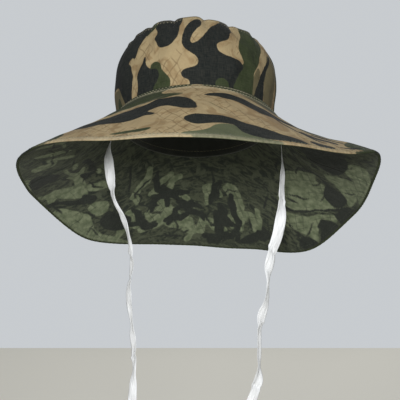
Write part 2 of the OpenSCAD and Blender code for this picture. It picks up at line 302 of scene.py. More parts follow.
# The main print on the crown band: tan ground, near-black, green and olive shapes
CROWN_DARK = [
    [(-32, 74), (-27, 65), (-31, 58), (-28, 53), (-27, 48), (-23, 44), (-18, 44), (-15.5, 47), (-12.5, 54),
     (-11, 62), (-11, 70), (-9, 79), (-10, 88), (-28, 88), (-30, 80)],
    [(-7, 65), (-5, 70), (-1.5, 76), (2.5, 79), (5.5, 77), (5, 70), (1.5, 62), (-2, 55), (-3, 49), (-2, 45),
     (1, 46), (4.5, 51), (7.5, 58), (10, 65), (12.5, 70), (17, 75), (21.5, 81), (22, 88), (32, 88), (31, 80),
     (30, 72), (27, 64), (25, 57), (21.5, 52), (17, 49), (15, 45), (16, 38), (20.5, 35), (26, 34), (31, 34),
     (34, 31), (35.5, 27), (33, 22), (30, 15), (28.5, 9), (27, 4), (28, -4), (24, -4), (23.5, 6), (21, 9.5),
     (16, 9.5), (13.5, 5), (14, -4), (-4, -4), (-5, 0), (-4, 3),
     (-4.5, 6), (-8, 8), (-10, 12), (-9, 16), (-5.5, 17.5), (0, 19.5), (2, 22), (2, 26), (0, 30.5), (-5, 36),
     (-8.5, 42), (-9, 50), (-8.5, 58)],
    [(-37.5, 41), (-38.5, 33), (-41, 29), (-43.5, 25), (-44.5, 19), (-44, 13), (-45.5, 2), (-48, -4), (-31, -4),
     (-31.5, 2), (-29, 7), (-27, 10), (-25.5, 15), (-26, 20), (-28.5, 23), (-32, 24), (-34.5, 27), (-36, 31),
     (-36, 38)],
    [(-34, 88), (-39, 70), (-42, 60), (-44.5, 52), (-45, 45), (-46.5, 42), (-49, 45), (-51, 45), (-54, 41),
     (-50.5, 38), (-50, 30), (-48.5, 24), (-49.5, 17), (-51, 8), (-52, 2), (-51, -4), (-60, -4), (-61, 1),
     (-63, 11), (-65, 18), (-69, 25), (-76, 27), (-85, 30), (-92, 50), (-92, 88)],
    [(66, 60), (60, 44), (52, 28), (48, 12), (45.5, 2), (45, -4), (56, -4), (56.5, 3), (56, 17), (58, 30),
     (63, 45), (69, 62)],
    [(84, 88), (86, 60), (88, 40), (92, 20), (100, 30), (98, 88)],
]
CROWN_GREEN = [
    [(-33, 27), (-30, 31), (-26.5, 30), (-24, 26), (-23, 20), (-19.5, 13), (-17.5, 8), (-17.5, 2), (-19, -4),
     (-34, -4)],
    [(40, 88), (38, 76), (37, 66), (35.5, 63), (33, 54), (32, 46), (34.5, 38), (36, 32), (31, 27), (27, 15),
     (24, -4), (44, -4), (44, 10), (44, 25), (49, 36), (52, 44), (54, 53), (58, 60), (62, 75), (62, 88)],
    [(12, 10), (18, 12), (25, 10), (25, -4), (12, -4)],
    [(68, 88), (72, 66), (76, 50), (78, 30), (79, 10), (80, -4), (112, -4), (112, 88)],
    [(-36, 88), (-30, 80), (-31, 74), (-36, 70), (-39, 66), (-42, 74), (-42, 88)],
    [(-66, 8), (-70, 14), (-74, 10), (-74, -4), (-66, -4)],
]
CROWN_OLIVE = [
    [(-61, 22), (-66, 20), (-78, 26), (-86, 24), (-88, 8), (-84, -4), (-60, -4)],
    [(57, 30), (60, 45), (64, 60), (72, 62), (74, 40), (74, 20), (70, -4), (56, -4)],
    [(42, -4), (42, 10), (45, 26), (50, 36), (52, 28), (49, 12), (46, -4)],
]
BRIM_DARK = [
    [(1, 67), (0, 52), (-1.5, 44), (-4, 39), (-8, 36), (-12.5, 35), (-17.5, 36), (-20, 43), (-23.5, 52),
     (-28, 56), (-34, 68), (-45, 82), (-58, 96), (-60, 104), (-50, 98), (-47, 92), (-40, 96), (-33, 93), (-28, 89),
     (-24, 88), (-21.5, 85), (-19, 80), (-17, 76), (-14.5, 78), (-13.5, 74), (-16, 69), (-18, 65), (-15.5, 58.5),
     (-10.5, 58.5), (-7, 61.5), (-4.5, 65), (-3, 66.5)],
    [(3.6, 31), (7.5, 26), (11, 23), (15.7, 20), (20, 20), (23, 24), (27, 27), (33, 34), (40, 46), (46, 62),
     (44, 70), (36, 66), (30, 62), (26, 60), (24.5, 52), (22, 48), (19.5, 43), (17, 37), (14, 35), (11, 34),
     (7.5, 35), (5, 32)],
    [(-4, 91), (-3, 83), (0, 79), (5, 78), (9, 80), (12, 85), (15, 89), (18, 93), (20, 97), (23, 104),
     (27, 112), (31, 118), (31, 125), (27, 125), (22, 122), (18, 122), (15.5, 119), (12.5, 113), (12, 106),
     (11.5, 98), (9, 96.5), (6, 98), (2, 100), (-1, 100)],
    [(33, 113), (35, 110), (38, 113), (42, 117), (42, 123), (38, 124), (34, 121)],
    [(34, 88), (38, 84), (44, 92), (50, 104), (48, 109), (43, 104), (38, 97)],
    [(-50, 122), (-53, 116), (-58, 113), (-64, 106), (-74, 104), (-80, 114), (-78, 132), (-60, 132), (-52, 131)],
    [(-40, 62), (-44, 58), (-50, 66), (-54, 80), (-52, 88), (-46, 78)],
    [(60, 121), (64, 115), (72, 110), (86, 108), (90, 132), (62, 132)],
    [(42, 80), (48, 84), (56, 100), (54, 104), (47, 95)],
]
BRIM_GREEN = [
    [(-11.5, 107), (-14.5, 105.5), (-19, 110), (-24, 115), (-23, 117), (-18, 115.5), (-12.5, 113)],
    [(-2, -2), (-20, -2), (-64, -2), (-66, 50), (-58, 84), (-48, 78), (-38, 62), (-30, 48), (-22, 40), (-14, 34),
     (-7, 30), (-9, 26), (-16, 24), (-19, 19), (-20, 14), (-16, 10), (-2, 7)],
    [(50, 112), (54, 103), (60, 100), (70, 106), (82, 112), (84, 132), (56, 132), (54, 124)],
    [(42, 50), (48, 52), (56, 68), (62, 92), (59, 96), (52, 82), (46, 66)],
    [(-41, 119), (-43, 108), (-47, 98), (-54, 92), (-66, 96), (-78, 108), (-84, 132), (-44, 132)],
    [(-33, 50), (-38, 44), (-46, 50), (-56, 66), (-60, 84), (-52, 84), (-42, 66)],
    [(4, -2), (20, -2), (40, -2), (66, -2), (86, 30), (84, 112), (64, 112), (58, 104), (60, 90), (56, 60),
     (50, 26), (44, 14), (34, 12), (20, 9), (4, 7)],
]
BRIM_GREY = [
    [(2, 116), (6, 100), (9, 97), (11.5, 98), (13, 105), (13, 113), (16, 120), (20, 123), (22, 127), (22, 132),
     (2, 132), (-4, 124), (-3, 119)],
    [(28, 30), (34, 36), (44, 52), (54, 80), (50, 84), (40, 66), (32, 46)],
]
BRIM_OLIVE = [
    [(-6, 24), (-16, 22), (-30, 24), (-44, 36), (-54, 60), (-50, 64), (-38, 46), (-26, 34), (-14, 32), (-7, 30)],
    [(26, 0), (44, 8), (60, 30), (70, 60), (76, 90), (70, 92), (60, 60), (44, 30), (28, 12)],
]
BRIM_OLIVE_LINES = [([(3, 48), (6, 53), (9, 60), (12.5, 73)], [0.3, 1.0, 0.9, 0.3])]
BRIM_DARK_LINES = [([(31, 58), (33, 72), (35, 86), (39, 102), (42, 108)], [1.4, 2.2, 1.8, 2.0, 0.8]),
                   ([(-45, 110), (-49, 114), (-52, 121)], [0.8, 1.8, 1.0]),
                   ([(46, 116), (51, 119), (56, 119)], [1.0, 2.2, 1.2])]

# The second print, under the brim: dark ground, light olive shapes and dark lines over them
UNDER_LIGHT = [
    [(-104, 126), (-106, 121), (-107.5, 115), (-107, 109), (-107.5, 103), (-109, 97), (-110.5, 91), (-112, 85),
     (-112.5, 80), (-114, 76), (-118, 74), (-121.5, 76), (-122, 82), (-120.5, 88), (-118.5, 94), (-116, 101),
     (-113.5, 107), (-112.5, 112), (-114, 118), (-114.5, 122), (-112.5, 125), (-110, 119), (-108, 123),
     (-106, 128)],
    [(-92, 77), (-93, 73), (-96, 72.5), (-99, 72), (-101.5, 70), (-103, 67), (-104, 63.5), (-102.5, 59),
     (-100.5, 55), (-102, 52.5), (-104.5, 55), (-106.5, 59), (-109, 61), (-111, 64), (-113, 67), (-116, 68),
     (-118, 72), (-117, 78), (-114, 81), (-111, 79), (-108.5, 77), (-106, 79), (-104, 82), (-102.5, 80),
     (-103.5, 76.5), (-101, 75.5), (-97.5, 76.5), (-94.5, 79)],
    [(-91, 60), (-93, 57.5), (-96, 59), (-98, 64), (-97, 68), (-94.5, 67), (-92, 63.5)],
    [(-79, 112), (-79.5, 100), (-79.5, 90), (-79, 82), (-82, 80), (-84, 86), (-84, 96), (-83.5, 106), (-82, 114)],
    [(-70, 108), (-71, 96), (-71.5, 84), (-72, 72), (-74, 62), (-76, 60), (-75, 70), (-74.5, 82), (-74, 94),
     (-73, 106)],
    [(-76, 92), (-77, 80), (-78.5, 68), (-80.5, 58), (-83, 57), (-81.5, 70), (-80, 82), (-79, 93)],
    [(-117, 71), (-119, 64), (-120.5, 58), (-122, 53), (-125, 49), (-128, 53), (-126, 60), (-124, 67), (-122, 72),
     (-120, 75)],
    [(-112, 47), (-114, 43), (-117, 43), (-117, 49), (-114, 50)],
    [(-126.5, 90), (-127, 84), (-128.5, 78), (-131, 72), (-134, 73), (-135.5, 80), (-135.5, 88), (-133.5, 94),
     (-130, 96), (-127.5, 95)],
    [(-116, 132), (-117, 120), (-119, 112), (-122, 107), (-126, 103), (-129, 99), (-131.5, 101), (-133.5, 107),
     (-135, 112), (-138, 115), (-142, 118), (-147, 119), (-152, 122), (-156, 132)],
    [(-84, 127), (-86, 120), (-90, 118), (-94, 120), (-96, 126), (-92, 130)],
    [(119, 36), (115, 41), (111, 46), (107, 52), (105, 57), (104.5, 63), (107, 65), (109.5, 66), (109, 72),
     (108, 78), (110, 82), (113.5, 86), (115.5, 92), (116, 98), (115, 104), (112.5, 110), (114, 113),
     (117, 110), (119.5, 105), (122, 99), (124.5, 93), (127.5, 87), (130.5, 80), (133, 71), (135, 62),
     (133, 54), (129, 48), (125, 42)],
    [(99, 70), (97, 78), (95.5, 86), (95, 94), (94.5, 102), (95, 110), (98, 115), (102, 118), (106, 120),
     (110, 120.5), (111, 116), (109, 110), (107, 104), (105.5, 96), (104, 89), (103, 82), (102, 75)],
    [(84, 90), (82, 100), (82, 110), (84, 120), (88, 126), (96, 129), (101, 130), (106, 130), (106, 122),
     (101, 118), (97, 113), (94, 106), (92, 99), (90, 93)],
    [(136, 70), (132.5, 80), (129.5, 88), (126.5, 95), (123.5, 100), (121, 105), (119, 111), (118.5, 119),
     (120.5, 122), (121.5, 115), (122.5, 109), (125, 106), (127, 109), (127, 113), (128.5, 117), (129.5, 123),
     (131, 124), (131.5, 117), (132.5, 110), (134.5, 104), (137, 98), (139, 90), (139, 80)],
]
UNDER_DARK = [
    [(107, 80), (110, 80), (113, 84), (115.5, 90), (116, 98), (116, 106), (114.5, 112), (112, 113), (109, 112),
     (107, 106), (106.5, 98), (106, 90)],
    [(119, 111), (116, 113), (113, 117), (111.5, 123), (113, 130), (118, 130), (119.5, 124)],
    [(124, 106), (122.5, 111), (121.5, 117), (120.5, 124), (121, 130), (131, 130), (129.5, 124), (127.5, 119),
     (126.5, 114), (127.5, 110), (126, 108)],
    [(131.5, 118), (133, 111), (135.5, 111), (138, 118), (137, 128), (132, 131), (130, 127)],
    [(-120, 82), (-123, 76), (-126, 72), (-128, 78), (-126, 86), (-123, 96), (-119, 106), (-115, 116),
     (-114.5, 126), (-111, 128), (-114, 112), (-118, 100), (-121, 90)],
    [(-136, 82), (-140, 84), (-146, 84), (-150, 90), (-150, 102), (-146, 110), (-140, 110), (-136, 104),
     (-134.5, 96), (-136, 90)],
    [(-92, 44), (-98, 42), (-106, 42), (-110, 46), (-110, 54), (-106, 52), (-102, 48), (-97, 52), (-93, 52)],
    [(-107, 64), (-109, 56), (-112, 52), (-114, 58), (-113, 65), (-110, 68)],
    [(-86, 120), (-88, 104), (-90, 92), (-94, 84), (-98, 86), (-98, 98), (-98, 110), (-98, 122), (-92, 126)],
    # This outline is painted shade, where the underside lies in shadow at angles 60 to 96.
    [(64, 30), (76, 28), (90, 40), (94, 60), (96, 80), (92, 92), (84, 96), (76, 84), (66, 70), (60, 50)],
]
UNDER_LINES = [
    ([(136, 60), (133.5, 70), (131, 78), (128.5, 84), (125, 90), (122, 96), (120, 101), (117.5, 107), (115, 113),
      (112, 119), (110.5, 127)], [2.0, 1.9, 1.8, 1.7, 1.5, 1.6, 1.7, 1.9, 2.0, 2.4, 3.0]),
    ([(107.5, 84), (105.5, 76), (104.5, 69), (103, 63), (103.5, 55)], [2.6, 1.8, 1.5, 1.8, 2.2]),
    ([(127, 60), (124, 70), (121.5, 78)], [0.8, 1.6, 0.7]),
    ([(131, 56), (128, 66), (127, 74)], [0.7, 1.5, 0.7]),
    ([(137, 92), (136, 102), (135, 112)], [0.8, 1.4, 0.8]),
    ([(141, 96), (139.5, 106), (139, 118)], [0.9, 1.5, 0.8]),
    ([(144, 100), (143, 110), (143, 122)], [0.7, 1.4, 0.8]),
    ([(-120, 100), (-122, 94), (-124, 92)], [0.7, 1.3, 0.6]),
    ([(-127, 100), (-130, 98), (-134, 97)], [0.8, 1.2, 0.8]),
]


def on_brim_away(low, high):
    """A test for cloth points whose angle is on the far side of low and high, and that lie on the brim."""
    def clear(x, y):
        angle = abs(math.degrees(math.atan2(x, -y)))
        return low <= angle <= high and 4 < math.hypot(x, y) - CUT_R < 124
    return clear


def brim_place(low, high):
    """Random places on the brim, at angles from low to high on either side."""
    def place():
        angle = math.radians(rng.uniform(low, high)) * rng.choice([-1, 1])
        radius = CUT_R + 124 * math.sqrt(rng.uniform(0.02, 1))
        return radius * math.sin(angle), -radius * math.cos(angle)
    return place


def band_place():
    return rng.choice([-1, 1]) * rng.uniform(95, 180) * BAND_STEP, rng.uniform(-4, 88)


def band_clear(x, y):
    return 94 * BAND_STEP < abs(x) < 290


top_brim_dark = scattered(17, brim_place(64, 178), on_brim_away(58, 179), radius=8.5, step=14)
top_brim_green = scattered(14, brim_place(64, 178), on_brim_away(52, 179), radius=10, step=14)
top_brim_grey = scattered(8, brim_place(64, 178), on_brim_away(56, 179), radius=6)
band_dark = scattered(11, band_place, band_clear, radius=7.5)
band_green = scattered(9, band_place, band_clear, radius=9)
band_olive = scattered(7, band_place, band_clear, radius=6)
under_light = (scattered(20, brim_place(146, 179), on_brim_away(142, 179), radius=5, bend=0.9)
               + scattered(34, brim_place(2, 66), on_brim_away(0, 70), radius=5, bend=0.9))
under_dark = (scattered(16, brim_place(146, 179), on_brim_away(142, 179), radius=5)
              + scattered(22, brim_place(2, 66), on_brim_away(0, 70), radius=5))
under_fine = scattered(90, brim_place(2, 178), on_brim_away(0, 179), radius=1.3, step=8, bend=0.5, steps=(2, 5))
top_dark, top_green = (scattered(6, lambda: rng.uniform(-60, 60, 2), lambda x, y: math.hypot(x, y) < 66, radius=9)
                       for _ in range(2))
lining_light, lining_dark = (scattered(count, lambda: (rng.uniform(-290, 290), rng.uniform(-4, 90)),
                                       lambda x, y: True, radius=radius, bend=bend)
                             for count, radius, bend in ((46, 5, 0.9), (40, 4, 0.6)))


def warped(xy, size):
    """Cloth places pushed about a little, so that no outline of the print is ruled."""
    x, y = xy[..., 0], xy[..., 1]
    return xy + size * np.stack([np.sin(y / 3.1 + 1.7 * np.sin(x / 7)) + 0.6 * np.sin(y / 1.7 + x / 2.3),
                                 np.sin(x / 3.3 + 1.9 * np.sin(y / 6)) + 0.6 * np.sin(x / 1.9 - y / 2.1)], -1)


def printed(cloth, push, flat, wear, **inks):
    """A cloth's fields for its material: each ink is its outlines, its lines and its random strokes."""
    xy = warped(cloth, push)
    return {"cloth": cloth, "wear": wear, **{ink: print_field(xy, flat, *drawn) for ink, drawn in inks.items()}}


def brim_print(angle, t):
    d, a = BRIM_W * t, turned(angle)
    # Painted highlights, put into the lightening field that also holds wear: the lit front edge, the lit seam ridge
    # and a lit crease; the edge's all-round term is wear.
    edge_highlight_and_wear = 1.3 * hump(d, 125, 3.0) * hump(a, -18, 26) + 0.5 * hump(d, BRIM_W, 2)
    seam_ridge_highlight = 0.9 * hump(d, 10.5, 1.6) + 0.8 * hump(d, 1, 2) * hump(a, 26, 18)
    crease = 0.8 * hump(d, 30 + 1.3 * (-a - 16), 1.6) * hump(a, -27, 9)
    return printed(brim_flat(angle, d), 0.25, brim_flat, edge_highlight_and_wear + seam_ridge_highlight + crease,
                   dark=(BRIM_DARK, BRIM_DARK_LINES, top_brim_dark), green=(BRIM_GREEN, [], top_brim_green),
                   grey=(BRIM_GREY, [], top_brim_grey), olive=(BRIM_OLIVE, BRIM_OLIVE_LINES, []))


def band_print(angle, v):
    h = BAND_H * v
    return printed(band_flat(angle, h), 0.25, band_flat, 0.5 * hump(h, BAND_H, 2.0),
                   dark=(CROWN_DARK, [], band_dark), green=(CROWN_GREEN, [], band_green), grey=([], [], []),
                   olive=(CROWN_OLIVE, [], band_olive))


def top_print(angle, s):
    a = np.radians(angle)
    cloth = np.stack([TOP_W * (1 - s) * np.sin(a), -TOP_D * (1 - s) * np.cos(a)], -1)
    return printed(cloth, 0.4, None, 0.7 * hump(TOP_D * s, 0, 2.0), dark=([], [], top_dark),
                   green=([], [], top_green), grey=([], [], []), olive=([], [], []))


def under_print(angle, t):
    d = BRIM_W * t
    fields = printed(brim_flat(angle, d), 0.5, brim_flat, 0.5 * hump(d, BRIM_W, 2.0),
                     light=(UNDER_LIGHT, [], under_light), dark=(UNDER_DARK, UNDER_LINES, under_dark + under_fine))
    # Painted shade: a soft dark line along the crease of the edge stitches, put into the dark print field.
    stitch_crease_shade = 0.5 - 1.3 * np.abs(d - EDGE_ROW)
    fields["dark"] = np.maximum(fields["dark"], stitch_crease_shade)
    return fields


def lining_print(angle, v):
    return printed(band_flat(angle, BAND_H * v), 0.5, None, np.zeros(angle.shape),
                   light=([], [], lining_light), dark=([], [], lining_dark))


def lining_top_print(angle, s):
    a = np.radians(angle)
    return lining_print(np.degrees(1.2 * (1 - s) * np.sin(a)), 0.5 + 0.5 * (1 - s) * np.cos(a))


def plain(angle, s):
    return {"cloth": np.stack([turned(angle) * 1.7, s * 100.0], -1)}


# ---------------------------------------------------------------- materials
class Shader:
    """A material's nodes, made with short calls. The mesh attribute "cloth" gives millimetres on the cloth."""

    def __init__(self, name, roughness, sheen=0.0, specular=0.3):
        self.material = bpy.data.materials.new(name)
        self.material.use_nodes = True
        self.tree = self.material.node_tree
        self.surface = self.tree.nodes["Principled BSDF"]
        self.surface.inputs["Roughness"].default_value = roughness
        self.surface.inputs["Sheen Weight"].default_value = sheen
        self.surface.inputs["Specular IOR Level"].default_value = specular
        self.place = self.read("cloth", "Vector")

    def feed(self, socket, value):
        if isinstance(value, bpy.types.NodeSocket):
            self.tree.links.new(value, socket)
        else:
            socket.default_value = value

    def read(self, attribute, output="Fac"):
        n = self.tree.nodes.new("ShaderNodeAttribute")
        n.attribute_name = attribute
        return n.outputs[output]

    def math(self, operation, a, b=0.0, c=0.0):
        n = self.tree.nodes.new("ShaderNodeMath")
        n.operation = operation
        for socket, value in zip(n.inputs, (a, b, c)):
            self.feed(socket, value)
        return n.outputs[0]

    def scaled(self, x, y, turn=0.0):
        n = self.tree.nodes.new("ShaderNodeMapping")
        self.feed(n.inputs["Vector"], self.place)
        n.inputs["Scale"].default_value = (x, y, 1)
        n.inputs["Rotation"].default_value = (0, 0, math.radians(turn))
        return n.outputs[0]

    def noise(self, size, detail=2.0, vector=None, distortion=0.0):
        """Noise from 0 to 1 whose features are about size millimetres across."""
        n = self.tree.nodes.new("ShaderNodeTexNoise")
        self.feed(n.inputs["Vector"], vector or self.place)
        n.inputs["Scale"].default_value = 1 / size
        n.inputs["Detail"].default_value = detail
        n.inputs["Distortion"].default_value = distortion
        return n.outputs["Fac"]

    def step(self, value, low, high):
        n = self.tree.nodes.new("ShaderNodeMapRange")
        n.interpolation_type = "SMOOTHSTEP"
        self.feed(n.inputs["Value"], value)
        n.inputs["From Min"].default_value = low
        n.inputs["From Max"].default_value = high
        return n.outputs[0]

    def mix(self, share, a, b):
        """Colour a turning into colour b as share goes from 0 to 1."""
        n = self.tree.nodes.new("ShaderNodeMix")
        n.data_type = "RGBA"
        self.feed(n.inputs["Factor"], share)
        colours = [s for s in n.inputs if s.type == "RGBA"]
        for socket, value in zip(colours, (a, b)):
            self.feed(socket, value if isinstance(value, bpy.types.NodeSocket) else (*value, 1))
        return [s for s in n.outputs if s.type == "RGBA"][0]

    def part(self, axis, vector):
        n = self.tree.nodes.new("ShaderNodeSeparateXYZ")
        self.feed(n.inputs[0], vector)
        return n.outputs[axis]

    def across(self, turn):
        """Millimetres across lines that are turned on the cloth by so many degrees."""
        return self.part(0, self.scaled(1, 1, turn))

    def stripes(self, axis, pitch, wobble):
        """0 to 1 waves across the cloth, pitch millimetres apart, bent by noise."""
        shifted = self.math("ADD", wobble, self.part(axis, self.place))
        wave = self.math("SINE", self.math("MULTIPLY", shifted, 2 * math.pi / pitch))
        return self.math("MULTIPLY_ADD", wave, 0.5, 0.5)

    def bump(self, height, distance, strength=1.0, normal=None):
        n = self.tree.nodes.new("ShaderNodeBump")
        n.inputs["Strength"].default_value = strength
        n.inputs["Distance"].default_value = distance * MM
        self.feed(n.inputs["Height"], height)
        if normal:
            self.feed(n.inputs["Normal"], normal)
        return n.outputs[0]

    def done(self, colour, normal, roughness=None):
        self.feed(self.surface.inputs["Base Color"], colour)
        self.feed(self.surface.inputs["Normal"], normal)
        if roughness is not None:
            self.feed(self.surface.inputs["Roughness"], roughness)
        return self.material


def cloth_surface(s, pitch=0.7, crumple=0.5):
    """Crumples, creases, weave and thicker threads here and there; returns the normal and the thread streaks."""
    wander = s.math("MULTIPLY", s.noise(9, 1), 0.8)
    warp, weft = s.stripes(0, pitch, wander), s.stripes(1, pitch, wander)
    slub = s.math("ADD", s.noise(1, 1, s.scaled(1.4, 0.12)), s.noise(1, 1, s.scaled(0.12, 1.4)))
    creases = s.noise(14, 4, s.scaled(1, 1, 30), distortion=0.8)
    wide = s.noise(34, 2, s.scaled(1, 0.55, -25), distortion=0.5)
    normal = s.bump(wide, 7.0, crumple)
    normal = s.bump(creases, 3.2, crumple, normal)
    normal = s.bump(slub, 0.22, 0.7, normal)
    return s.bump(s.math("MULTIPLY", warp, weft), 0.12, 0.6, normal), slub


def camouflage():
    s = Shader("camo_cotton", 0.82, sheen=0.01, specular=0.1)
    normal, slub = cloth_surface(s)
    fringe = s.math("MULTIPLY_ADD", s.noise(1.6, 2), 0.9, -0.45)
    tan = s.mix(s.noise(40, 3), (0.248, 0.184, 0.0975), (0.338, 0.270, 0.154))
    tan = s.mix(s.step(s.noise(22, 4, distortion=1.2), 0.47, 0.64), tan, (0.215, 0.152, 0.0777))
    # thin crossing lines printed on the tan ground, in patches
    bend = s.math("MULTIPLY", s.noise(16, 2), 9.0)
    patches = s.step(s.noise(30, 1), 0.46, 0.56)
    for turn, pitch in ((38, 9.0), (-34, 10.5)):
        wave = s.math("PINGPONG", s.math("ADD", s.across(turn), bend), pitch / 2)
        ink = s.math("MULTIPLY", s.math("SUBTRACT", 1.0, s.step(wave, 0.2, 1.0)), patches)
        tan = s.mix(s.math("MULTIPLY", ink, 0.5), tan, (0.111, 0.0740, 0.0370))
    green = s.mix(s.noise(13, 4), (0.0111, 0.0178, 0.0067), (0.0370, 0.0488, 0.0207))
    grey = s.mix(s.noise(12, 3), (0.0518, 0.0629, 0.0326), (0.0925, 0.104, 0.0577))
    olive = s.mix(s.noise(18, 3), (0.0777, 0.0651, 0.0326), (0.130, 0.111, 0.0607))
    dark = s.mix(s.noise(18, 3), (0.0044, 0.0067, 0.0067), (0.0104, 0.0133, 0.0133))
    colour = tan
    for attribute, ink in (("olive", olive), ("grey", grey), ("green", green), ("dark", dark)):
        edge = s.math("ADD", s.read(attribute), fringe)
        colour = s.mix(s.step(edge, -0.5, 0.5), colour, ink)
    colour = s.mix(s.math("MULTIPLY", s.step(slub, 0.7, 1.3), 0.045), colour, (0.311, 0.281, 0.215))
    # Paler towards sand where the lightening field is high: real wear at seams and edges, and painted highlights on
    # the brim's front edge, seam ridge and a crease.
    wear_and_highlight_share = s.math("MULTIPLY", s.read("wear"), s.math("MULTIPLY_ADD", s.noise(3, 2), 1.1, -0.1))
    colour = s.mix(wear_and_highlight_share, colour, (0.348, 0.311, 0.222))
    rough = s.math("MULTIPLY_ADD", s.noise(7, 3), 0.2, 0.72)
    return s.done(colour, normal, rough)


def green_camouflage():
    s = Shader("green_camo_cotton", 0.85, sheen=0.04, specular=0.2)
    normal, slub = cloth_surface(s)
    fringe = s.math("MULTIPLY_ADD", s.noise(2.2, 3), 2.4, -1.2)
    streaks = s.noise(1, 4, s.scaled(0.06, 0.17, 20), distortion=1.5)
    ground = s.mix(s.step(streaks, 0.38, 0.62), (0.0148, 0.0192, 0.0141), (0.0518, 0.0592, 0.0363))
    ground = s.mix(s.step(s.noise(13, 4, distortion=1.0), 0.50, 0.66), ground, (0.0592, 0.0681, 0.0429))
    light = s.mix(s.step(s.noise(7, 5), 0.3, 0.7), (0.0777, 0.0962, 0.0533), (0.159, 0.181, 0.111))
    colour = s.mix(s.step(s.math("ADD", s.read("light"), fringe), -1.0, 1.0), ground, light)
    # thin dark printed lines, squares of about 9 mm that fade in and out
    faded = s.step(s.noise(24, 1), 0.45, 0.58)
    for turn in (24, -62):
        bent = s.math("ADD", s.across(turn), s.math("MULTIPLY", s.noise(20, 1), 8.0))
        ink = s.math("SUBTRACT", 1.0, s.step(s.math("PINGPONG", bent, 4.6), 0.2, 0.8))
        colour = s.mix(s.math("MULTIPLY", s.math("MULTIPLY", ink, faded), 0.5), colour, (0.0222, 0.0266, 0.0192))
    dark = s.mix(s.noise(10, 3), (0.0089, 0.0111, 0.0096), (0.0207, 0.0244, 0.0192))
    colour = s.mix(s.step(s.math("ADD", s.read("dark"), fringe), -0.9, 0.9), colour, dark)
    colour = s.mix(s.math("MULTIPLY", s.step(slub, 0.7, 1.3), 0.04), colour, (0.222, 0.244, 0.185))
    wear_and_highlight_share = s.math("MULTIPLY", s.read("wear"), s.math("MULTIPLY", s.noise(3, 2), 0.4))
    colour = s.mix(wear_and_highlight_share, colour, (0.163, 0.185, 0.118))
    return s.done(colour, normal, s.math("MULTIPLY_ADD", s.noise(7, 3), 0.2, 0.74))


def twill_tape():
    s = Shader("sweatband_twill", 0.8, sheen=0.2)
    rib = s.math("PINGPONG", s.math("ADD", s.across(45), s.noise(6, 1)), 0.55)
    colour = s.mix(s.noise(12, 3), (0.030, 0.034, 0.028), (0.062, 0.066, 0.052))
    return s.done(colour, s.bump(rib, 0.5, 0.7), s.math("MULTIPLY_ADD", s.noise(5, 2), 0.2, 0.7))


def interlining():
    s = Shader("stiff_interlining", 0.9)
    fibres = s.noise(1.2, 5, distortion=2.0)
    return s.done(s.mix(fibres, (0.62, 0.60, 0.53), (0.80, 0.78, 0.72)), s.bump(fibres, 0.3, 0.6))


def sewing_thread(name, colour, pale):
    """Two plies, seen as slanting lines along the thread."""
    s = Shader(name, 0.6, sheen=0.2)
    ply = s.math("PINGPONG", s.across(35), 0.3)
    return s.done(s.mix(s.noise(8, 3), colour, pale), s.bump(ply, 0.15, 0.7))


def satin():
    s = Shader("satin_ribbon_white", 0.42, sheen=0.25, specular=0.5)
    wander = s.math("MULTIPLY", s.noise(6, 1), 0.5)
    weave = s.math("MULTIPLY", s.stripes(0, 0.9, wander), s.stripes(1, 0.55, wander))
    creases = s.noise(1, 3, s.scaled(0.05, 0.16, 12), distortion=1.0)
    normal = s.bump(creases, 2.6, 0.8)
    normal = s.bump(weave, 0.12, 0.7, normal)
    colour = s.mix(s.noise(12, 3), (0.80, 0.825, 0.86), (0.90, 0.915, 0.94))
    colour = s.mix(s.math("MULTIPLY", s.read("edge"), 0.35), colour, (0.60, 0.63, 0.68))
    return s.done(colour, normal, s.math("MULTIPLY_ADD", s.noise(9, 3), 0.25, 0.32))


CAMO, GREEN_CAMO = camouflage(), green_camouflage()
TWILL, INTERLINING, SATIN = twill_tape(), interlining(), satin()
SAND_THREAD = sewing_thread("thread_sand", (0.20, 0.18, 0.105), (0.36, 0.33, 0.22))
GREEN_THREAD = sewing_thread("thread_green", (0.030, 0.050, 0.026), (0.060, 0.085, 0.045))


# ---------------------------------------------------------------- mesh making
def mesh_piece(name, points, quads, material, fields=None, triangles=None):
    """A smooth mesh from points in millimetres, with point attributes for its material."""
    mesh = bpy.data.meshes.new(name)
    points = np.asarray(points, float).reshape(-1, 3) * MM
    quads = np.asarray(quads, np.int64).reshape(-1, 4)
    triangles = np.zeros((0, 3), np.int64) if triangles is None else np.asarray(triangles, np.int64).reshape(-1, 3)
    corners = np.concatenate([quads.ravel(), triangles.ravel()])
    sizes = np.concatenate([np.full(len(quads), 4), np.full(len(triangles), 3)])
    mesh.vertices.add(len(points))
    mesh.vertices.foreach_set("co", points.ravel())
    mesh.loops.add(len(corners))
    mesh.loops.foreach_set("vertex_index", corners.astype(np.int32))
    mesh.polygons.add(len(sizes))
    starts = np.concatenate([[0], np.cumsum(sizes)[:-1]])
    mesh.polygons.foreach_set("loop_start", starts.astype(np.int32))
    mesh.polygons.foreach_set("use_smooth", np.ones(len(sizes), bool))
    mesh.update(calc_edges=True)
    for key, value in (fields or {}).items():
        value = np.asarray(value, float)
        if value.ndim == 2:
            vector = np.zeros((len(value), 3), np.float32)
            vector[:, :2] = value
            mesh.attributes.new(key, "FLOAT_VECTOR", "POINT").data.foreach_set("vector", vector.ravel())
        else:
            mesh.attributes.new(key, "FLOAT", "POINT").data.foreach_set("value", value.astype(np.float32))
    mesh.validate()
    obj = bpy.data.objects.new(name, mesh)
    bpy.context.scene.collection.objects.link(obj)
    mesh.materials.append(material)
    return obj


def swept(rings):
    """Quads along rings of points, (rings, sides, 3), without their end caps."""
    count, sides = rings.shape[:2]
    i = np.arange(count * sides).reshape(count, sides)
    a, b = i[:-1], i[1:]
    return np.stack([a, np.roll(a, -1, axis=1), np.roll(b, -1, axis=1), b], -1).reshape(-1, 4)


